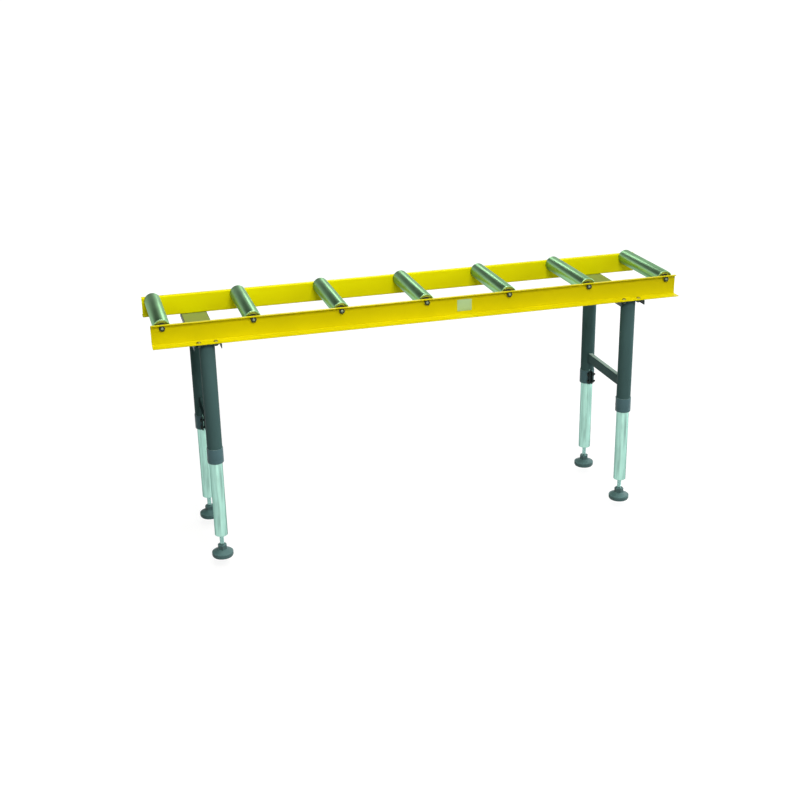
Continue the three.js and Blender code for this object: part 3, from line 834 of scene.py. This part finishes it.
# Outer legs and their clamps
COLLAR_R = LEG_R + 2.2 * MM
COLLAR_SEAT = LEG_R + 0.05 * MM
COLLAR_TOP = LEG_BOTTOM + 57 * MM
GROOVE_R = COLLAR_R - 0.9 * MM
GROOVE_LOW = LEG_BOTTOM + 12 * MM
GROOVE_MIDDLE = LEG_BOTTOM + 13 * MM
GROOVE_HIGH = LEG_BOTTOM + 14 * MM
GROOVE_EDGE = 0.3 * MM
SLIT = 3 * MM
SLIT_TOP = COLLAR_TOP + 6 * MM
CLEAR = 5 * MM
LUG_FACE = 8 * MM
LUG_TIP = COLLAR_R + 14 * MM
LUG_CORNER = 7 * MM
LUG_INSET = 1 * MM
LUG_SINK = 0.3 * MM
CLAMP_Y = COLLAR_R + 6.5 * MM
CLAMP_MIDDLE = LEG_BOTTOM + 28.5 * MM
CLAMP_RISE = 15 * MM
CLAMP_HOLE_R = 4.5 * MM
CLAMP_HEX = 13 * MM
CLAMP_HEAD = 5.3 * MM
CLAMP_NUT = 6.5 * MM
CLAMP_NUT_HOLE_R = 4.2 * MM
CLAMP_TAIL = LUG_FACE + CLAMP_NUT + 6 * MM
CLAMP_ROD_R = 3.35 * MM
CLAMP_THREAD = {"radius": 3.95 * MM, "depth": 0.6 * MM, "pitch": 1.25 * MM}


def outer_tube_mesh():
    """Outer leg tube with the slit that lets the clamp close on the inner leg."""
    tube = lathe(soft_ring(LEG_BORE, LEG_R, LEG_BOTTOM, LEG_TOP, edge=0.4 * MM), facets=96)
    slit = prism(rectangle(SLIT, CLEAR, LEG_R + CLEAR), LEG_BOTTOM - CLEAR, SLIT_TOP)
    return combined("outer_leg_tube", tube, "DIFFERENCE", [slit], GREY, SHARP_FLATS)


def collar_mesh():
    """Split collar, open toward +Y, with a shallow groove near its lower edge."""
    outline = rounded([
        (COLLAR_SEAT, LEG_BOTTOM, 0.2 * MM), (COLLAR_R, LEG_BOTTOM, 1.6 * MM),
        (COLLAR_R, GROOVE_LOW, GROOVE_EDGE), (GROOVE_R, GROOVE_MIDDLE, GROOVE_EDGE),
        (COLLAR_R, GROOVE_HIGH, GROOVE_EDGE),
        (COLLAR_R, COLLAR_TOP, 0.6 * MM), (COLLAR_SEAT, COLLAR_TOP, 0.2 * MM),
    ], steps=3)
    ring = lathe(outline, facets=96)
    slit = prism(rectangle(SLIT, 2 * CLEAR, COLLAR_R + CLEAR), LEG_BOTTOM - CLEAR, COLLAR_TOP + CLEAR)
    return combined("clamp_collar", ring, "DIFFERENCE", [slit], COLLAR, SHARP_FLATS)


def lug_mesh(hand):
    """Clamp lug toward +Y, on one side of the slit, its root shaped to the round collar."""
    near, far = sorted((hand * SLIT, hand * LUG_FACE))
    low, high = LEG_BOTTOM + LUG_INSET, COLLAR_TOP - LUG_INSET
    outline = rounded([
        (LEG_R, low, 0), (LUG_TIP, low, LUG_CORNER), (LUG_TIP, high, LUG_CORNER), (LEG_R, high, 0),
    ], steps=8)
    stand_up = Matrix(((0, 0, 1, 0), (1, 0, 0, 0), (0, 1, 0, 0), (0, 0, 0, 1)))
    lug = mapped(prism(outline, near, far), stand_up)
    cuts = [lathe(disc(COLLAR_R - LUG_SINK, LEG_BOTTOM - CLEAR, COLLAR_TOP + CLEAR), facets=96)]
    for side in SIDES:
        hole = mapped(drill(CLAMP_HOLE_R, 3 * THROUGH), POINT["x"])
        cuts.append(moved(hole, (0, CLAMP_Y, CLAMP_MIDDLE + side * CLAMP_RISE)))
    # The lug is in the near-black paint, painted shade
    return combined("clamp_lug", lug, "DIFFERENCE", cuts, SHADED_LUG, SHARP_FLATS)


outer_tube = outer_tube_mesh()
collar = collar_mesh()
lugs = {end: lug_mesh(side) for end, side in ENDS.items()}
clamp_nut = hexagon(CLAMP_HEX, 0, CLAMP_NUT, CLAMP_NUT_HOLE_R)
clamp_nut_mesh = as_mesh("clamp_nut", clamp_nut, BLACK_STEEL, SHARP_FLATS)
bolt_rod = lathe(soft_disc(CLAMP_ROD_R, -CLAMP_TAIL, LUG_FACE + 1 * MM, edge=0.4 * MM), facets=24)
bolt_thread = thread(bolt_rod, low=GAP - CLAMP_TAIL, high=LUG_FACE - 2 * MM, **CLAMP_THREAD)
bolt_mesh = as_mesh("clamp_bolt", mapped(bolt_thread, POINT["-x"]), BLACK_STEEL, SHARP_FINE)
bolt_head = hexagon(CLAMP_HEX, LUG_FACE + GAP, LUG_FACE + GAP + CLAMP_HEAD)
bolt_head_mesh = as_mesh("clamp_bolt_head", mapped(bolt_head, POINT["-x"]), BLACK_STEEL, SHARP_FLATS)

# Sliding legs and spindles
INNER_BORE = INNER_R - TUBE_WALL
PLUG_R = INNER_R - 3.1 * MM
PLUG_BORE = 8.25 * MM
PLUG_BOTTOM = INNER_BOTTOM + 0.8 * MM
PLUG_TOP = INNER_BOTTOM + 15 * MM
SPINDLE_BOTTOM, SPINDLE_TOP = spindle_low[2], spindle_high[2]
SPINDLE_ROD_R = 6.75 * MM
SPINDLE_SINK = 14 * MM
SPINDLE_PLAIN = 4 * MM
SPINDLE_THREAD = {"radius": 7.95 * MM, "depth": 1.2 * MM, "pitch": 2 * MM}
inner_ring = rounded([
    (INNER_BORE, INNER_BOTTOM + 0.5 * MM, 0.3 * MM), (INNER_R - 1.5 * MM, INNER_BOTTOM, 0.4 * MM),
    (INNER_R, INNER_BOTTOM, 1.4 * MM), (INNER_R, INNER_TOP, CUT_EDGE),
    (INNER_BORE, INNER_TOP, CUT_EDGE),
])
inner_tube = as_mesh("inner_leg_tube", lathe(inner_ring, facets=96), TUBE_ZINC)
plug_ring = soft_ring(PLUG_BORE, PLUG_R, PLUG_BOTTOM, PLUG_TOP, edge=0.6 * MM)
plug_mesh = as_mesh("leg_plug", lathe(plug_ring, facets=64), TUBE_ZINC)
spindle_rod = lathe(soft_disc(SPINDLE_ROD_R, SPINDLE_BOTTOM, SPINDLE_TOP, edge=0.8 * MM), facets=24)
spindle_thread = thread(
    spindle_rod, low=PAD_TOP - SPINDLE_SINK, high=SPINDLE_TOP - SPINDLE_PLAIN, **SPINDLE_THREAD)
spindle_mesh = as_mesh("levelling_spindle", spindle_thread, THREAD_ZINC, SHARP_FINE)

# Feet. The profile of the neck is counted from its top
PAD_BASE_PROFILE = [
    (0, 0, 0), (37.5, 0, 0.6), (38.2, 3.4, 0.4), (40, 4.6, 0.6), (40, 16.4, 0.6), (39.0, 17.4, 0.6),
    (34.5, 18.2, 0.8), (21.0, 26.4, 0.8), (18.6, 27.4, 0.8), (14.0, 28, 0.6),
]
PAD_NECK_PROFILE = [
    (14.0, -1.4, 0.4), (12.6, 0, 0.6), (9.6, 0, 0.5), (8.6, -2.4, 0.5), (8.6, -34, 0), (0, -34, 0),
]
BOSS_HEX = 31.5 * MM
BOSS_BOTTOM = 25 * MM
BOSS_TOP = PAD_TOP - 1.2 * MM
BOSS_HOLE_R = 11 * MM
pad_outline = rounded(in_metres(PAD_BASE_PROFILE) + in_metres(PAD_NECK_PROFILE, PAD_TOP))
pad_round = lathe(pad_outline, facets=96)
pad_boss = hexagon(BOSS_HEX, BOSS_BOTTOM, BOSS_TOP, BOSS_HOLE_R)
pad_mesh = combined("levelling_foot", pad_round, "UNION", [pad_boss], FOOT, SHARP_FLATS)

for (row, end), place in leg_place.items():
    corner = f"{row}_{end}"
    turned = HALF_TURN if row == "rear" else Matrix()
    piece(f"outer_leg_{corner}_tube", outer_tube, "frame", place, turned,
          [f"outer_leg_{corner}"])
    piece(f"clamp_collar_{corner}", collar, "frame", place, turned)
    for hand, lug in lugs.items():
        piece(f"clamp_lug_{hand}_{corner}", lug, "frame", place, turned)
    piece(f"leg_top_weld_{corner}", top_weld, "frame", place, turned)
    piece(f"inner_leg_{corner}_tube", inner_tube, f"leg_{corner}", place,
          loose_turn(), [f"inner_leg_{corner}"])
    piece(f"leg_plug_{corner}", plug_mesh, f"leg_{corner}", place)
    piece(f"levelling_spindle_{corner}", spindle_mesh, f"spindle_{corner}", place,
          stands_for=[f"foot_spindle_{corner}"])
    quarter = Matrix.Rotation(random.randrange(4) * math.pi / 2, 4, "Z")
    piece(f"levelling_foot_{corner}", pad_mesh, f"foot_{corner}", place,
          quarter, [f"foot_pad_{corner}"])
    for height in ("lower", "upper"):
        bolt = f"bolt_{height}_{corner}"
        spot = centre(f"clamp_{bolt}")
        spot.x = place.x
        stopped = loose_turn("X")
        piece(f"clamp_screw_{height}_{corner}", bolt_mesh, bolt, spot,
              stands_for=[f"clamp_{bolt}"])
        piece(f"clamp_screw_head_{height}_{corner}", bolt_head_mesh, bolt, spot, stopped)
        piece(f"clamp_nut_{height}_{corner}", clamp_nut_mesh, "frame",
              spot + Vector((LUG_FACE, 0, 0)), POINT["x"])

# Name plate
PLATE_CORNER = 3 * MM
PLATE_EDGE = 0.15 * MM
PLATE_EDGE_ANGLE = math.radians(40)
plate_size = plate_high - plate_low
plate_corners = rectangle(plate_size.x / 2, -plate_size.z / 2, plate_size.z / 2)
plate_outline = rounded([(x, z, PLATE_CORNER) for x, z in plate_corners], steps=6)
plate_shape = mapped(prism(plate_outline, 0, plate_size.y), POINT["-y"])
plate_mesh = as_mesh("name_plate_sheet", plate_shape, PLATE, SHARP_FLATS)
plate_middle = centre("name_plate")
plate = piece("name_plate_blank", plate_mesh, "frame",
              (plate_middle.x, plate_high[1], plate_middle.z), stands_for=["name_plate"])
plate_edge = plate.modifiers.new("edge", "BEVEL")
plate_edge.width = PLATE_EDGE
plate_edge.segments = 2
plate_edge.limit_method = "ANGLE"
plate_edge.angle_limit = PLATE_EDGE_ANGLE
plate_edge.harden_normals = True


# Floor
def seen_rays(tree):
    """1 for rays that show the floor or the background, 0 for rays that light the object."""
    path = node(tree, "ShaderNodeLightPath").outputs
    seen = greater(tree, path["Is Camera Ray"], path["Is Glossy Ray"])
    return greater(tree, seen, path["Is Transmission Ray"])


def floor_material(albedo, near_glow, far_glow, near, far):
    """Pale matt floor, lifted to white where it is seen; less so near the object, for its shadow."""
    material = bpy.data.materials.new("floor_white")
    material.use_nodes = True
    tree = material.node_tree
    tree.nodes.clear()
    coords = node(tree, "ShaderNodeTexCoord").outputs["Object"]
    away = node(tree, "ShaderNodeVectorMath", {0: coords}, operation="LENGTH").outputs["Value"]
    glow = ramp(tree, away, near, far, near_glow, far_glow)
    diffuse = node(tree, "ShaderNodeBsdfDiffuse", {"Color": (albedo, albedo, albedo, 1)})
    lift = node(tree, "ShaderNodeEmission", {"Strength": times(tree, seen_rays(tree), glow)})
    both = node(tree, "ShaderNodeAddShader", {0: diffuse.outputs[0], 1: lift.outputs[0]})
    node(tree, "ShaderNodeOutputMaterial", {"Surface": both.outputs[0]})
    return material


# The floor lies at the lowest point that a foot reaches
FLOOR_Z = -48 * MM
FLOOR_HALF = 60.0
floor_corners = rectangle(FLOOR_HALF, -FLOOR_HALF, FLOOR_HALF)
floor_mesh = bpy.data.meshes.new("floor")
floor_mesh.from_pydata([(x, y, FLOOR_Z) for x, y in floor_corners], [], [(0, 1, 2, 3)])
floor_white = floor_material(albedo=0.25, near_glow=0.83, far_glow=1.0, near=1.6, far=4.0)
floor_mesh.materials.append(floor_white)
floor = as_object("floor", floor_mesh)

# Plain surroundings: dim above, pale to the right, and white low along the horizon where that is seen
SKY_GLOW = 0.07
SIDE_GLOW = 1.05
world = bpy.data.worlds.new("studio")
bpy.context.scene.world = world
world.use_nodes = True
sky = world.node_tree
toward = node(sky, "ShaderNodeTexCoord").outputs["Generated"]
direction = node(sky, "ShaderNodeSeparateXYZ", {0: toward}).outputs
low_down = ramp(sky, direction["Z"], 0.4, 0.85, out_low=SIDE_GLOW, out_high=0.0)
to_right = ramp(sky, direction["X"], -0.06, 0.22)
around = calculate(sky, "ADD", times(sky, low_down, to_right), SKY_GLOW)
white_band = ramp(sky, direction["Z"], 0.12, 0.3, out_low=1.0, out_high=0.0)
backdrop = times(sky, seen_rays(sky), white_band)
background = sky.nodes["Background"]
sky.links.new(greater(sky, around, backdrop), background.inputs["Strength"])
background.inputs["Color"].default_value = (1.0, 1.0, 1.0, 1)


# Lamps
def soft_box(name, place, aim, size, power, colour, spread=180):
    light = bpy.data.lights.new(name, "AREA")
    light.shape = "RECTANGLE"
    light.size, light.size_y = size
    light.energy = power
    light.spread = math.radians(spread)
    light.color = colour
    lamp = as_object(name, light)
    lamp.location = place
    lamp.rotation_euler = (Vector(aim) - Vector(place)).to_track_quat("-Z", "Y").to_euler()


soft_box("front_light", place=(-0.35, -4.6, 4.7), aim=(-0.35, 0, 0.8), size=(2.4, 2.4),
         power=41, colour=(1.0, 0.94, 0.88), spread=75)
soft_box("side_light", place=(4.5, 0.3, 2.2), aim=(0.3, 0, 0.6), size=(2.0, 2.4),
         power=100, colour=(0.96, 1.0, 1.0))
soft_box("top_light", place=(-0.2, -0.9, 4.4), aim=(-0.2, 0, 0.8), size=(3.0, 1.6),
         power=71, colour=(0.95, 1.0, 0.96))
soft_box("back_light", place=(1.15, 5.5, 3.4), aim=(0.2, 0, 0.9), size=(0.9, 3.0),
         power=29, colour=(1.0, 0.97, 1.0))

# Camera
CAMERA_PLACE = (-1.262, -4.370, 1.362 + RAIL_BOTTOM)
CAMERA_YAW = math.radians(15.39)
CAMERA_PITCH = math.radians(21.01)
CAMERA_ROLL = math.radians(-1.11)
FOCAL_PIXELS = 1243.0
FRAME_PIXELS = 800.0
SENSOR = 36.0
lens = bpy.data.cameras.new("camera")
lens.sensor_width = SENSOR
lens.lens = FOCAL_PIXELS / FRAME_PIXELS * SENSOR
ahead = Vector((
    math.sin(CAMERA_YAW) * math.cos(CAMERA_PITCH),
    math.cos(CAMERA_YAW) * math.cos(CAMERA_PITCH),
    -math.sin(CAMERA_PITCH),
))
sideways = Vector((math.cos(CAMERA_YAW), -math.sin(CAMERA_YAW), 0))
right = sideways * math.cos(CAMERA_ROLL) + sideways.cross(ahead) * math.sin(CAMERA_ROLL)
upward = right.cross(ahead)
aim = Matrix((right, upward, -ahead)).transposed().to_4x4()
camera = as_object("camera", lens)
camera.matrix_world = Matrix.Translation(CAMERA_PLACE) @ aim
bpy.context.scene.camera = camera
bpy.context.scene.view_settings.view_transform = "Standard"
